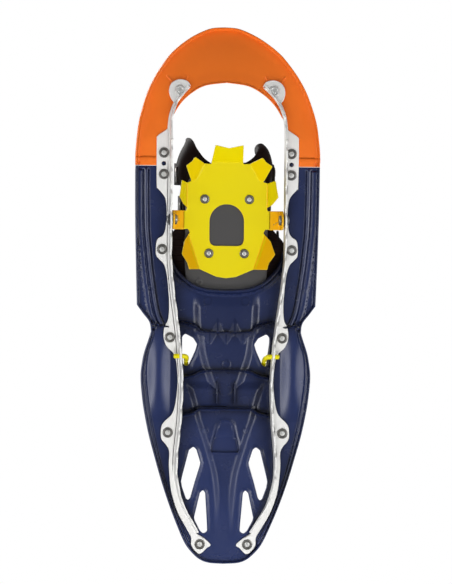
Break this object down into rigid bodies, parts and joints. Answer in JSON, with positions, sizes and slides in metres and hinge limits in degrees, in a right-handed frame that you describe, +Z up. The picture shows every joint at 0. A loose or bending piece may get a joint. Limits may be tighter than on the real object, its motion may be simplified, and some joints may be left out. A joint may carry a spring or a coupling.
{
  "type": "snowshoe",
  "caption": "Plastic snowshoe with upturned nose, flexible tail, toothed metal side rails, pivoting toe binding with bent-tooth crampon, heel strap and folding wire heel lifter.",
  "frame": {"origin": "centre of the bounding box on the plane of the rail teeth", "axes": "+Y towards the toe end, +Z up in use, +X to the wearer's right"},
  "size_m": [0.21, 0.61, 0.1246],
  "materials": {
    "orange_plastic": "satin moulded plastic",
    "navy_plastic": "satin moulded plastic",
    "rail_alloy": "fine matt, light silver",
    "yellow_coat": "yellow powder coat",
    "grey_plastic": "matt",
    "binding_rubber": "soft moulded, semi-matt",
    "strap_black": "matt",
    "buckle_plastic": "semi-matt",
    "rivet_steel": "darkened ring, bright centre"
  },
  "bodies": {
    "frame": {"nose_shell": "orange_plastic", "deck_shell": "navy_plastic", "heel_pad": "binding_rubber", "left_rail": "rail_alloy", "right_rail": "rail_alloy", "left_rail_rivet_1": "rivet_steel", "left_rail_rivet_2": "rivet_steel", "left_rail_rivet_3": "rivet_steel", "left_rail_rivet_4": "rivet_steel", "left_rail_rivet_5": "rivet_steel", "left_rail_rivet_6": "rivet_steel", "left_rail_rivet_7": "rivet_steel", "right_rail_rivet_1": "rivet_steel", "right_rail_rivet_2": "rivet_steel", "right_rail_rivet_3": "rivet_steel", "right_rail_rivet_4": "rivet_steel", "right_rail_rivet_5": "rivet_steel", "right_rail_rivet_6": "rivet_steel", "right_rail_rivet_7": "rivet_steel", "left_pivot_bush": "buckle_plastic", "right_pivot_bush": "buckle_plastic"},
    "binding": {"toe_crampon": "yellow_coat", "binding_base": "grey_plastic", "crampon_rivet_front_left": "rivet_steel", "crampon_rivet_front_right": "rivet_steel", "crampon_rivet_rear_left": "rivet_steel", "crampon_rivet_rear_right": "rivet_steel", "left_pivot_pin": "rivet_steel", "right_pivot_pin": "rivet_steel", "left_toe_wing": "binding_rubber", "right_toe_wing": "binding_rubber", "wing_rivet_front_left": "rivet_steel", "wing_rivet_front_right": "rivet_steel", "wing_rivet_rear_left": "rivet_steel", "wing_rivet_rear_right": "rivet_steel", "toe_strap": "strap_black", "instep_strap": "strap_black", "toe_strap_rivet_left": "rivet_steel", "toe_strap_rivet_right": "rivet_steel", "instep_strap_rivet_left": "rivet_steel", "instep_strap_rivet_right": "rivet_steel", "heel_strap_rivet_left": "rivet_steel", "heel_strap_rivet_right": "rivet_steel", "toe_buckle_body": "buckle_plastic", "toe_buckle_pin": "rivet_steel", "instep_buckle_body": "buckle_plastic", "instep_buckle_pin": "rivet_steel"},
    "toe_lever": {"toe_buckle_lever": "buckle_plastic"},
    "instep_lever": {"instep_buckle_lever": "buckle_plastic"},
    "heel_loop": {"heel_strap": "strap_black", "heel_buckle_body": "buckle_plastic", "heel_buckle_pin": "rivet_steel"},
    "heel_lever": {"heel_buckle_lever": "buckle_plastic"},
    "lifter": {"heel_lifter": "yellow_coat"}
  },
  "joints": [
    {"name": "binding_pivot", "type": "hinge", "parent": "frame", "child": "binding", "pos_m": [0, 0.085, 0.013], "axis": [-1, 0, 0], "range_deg": [0, 70]},
    {"name": "heel_lifter_pivot", "type": "hinge", "parent": "frame", "child": "lifter", "pos_m": [0, -0.0697, 0.014], "axis": [-1, 0, 0], "range_deg": [0, 92]},
    {"name": "heel_strap_pivot", "type": "hinge", "parent": "binding", "child": "heel_loop", "pos_m": [0, 0.062, 0.052], "axis": [-1, 0, 0], "range_deg": [-8, 50]},
    {"name": "toe_lever_hinge", "type": "hinge", "parent": "binding", "child": "toe_lever", "pos_m": [0.01, 0.137, 0.113], "axis": [0, 1, 0], "range_deg": [0, 100]},
    {"name": "instep_lever_hinge", "type": "hinge", "parent": "binding", "child": "instep_lever", "pos_m": [0.01, 0.1, 0.122], "axis": [0, 1, 0], "range_deg": [0, 100]},
    {"name": "heel_lever_hinge", "type": "hinge", "parent": "heel_loop", "child": "heel_lever", "pos_m": [0.06735, 0.03592, 0.05531], "axis": [0, 0.126, 0.992], "range_deg": [0, 100]}
  ]
}
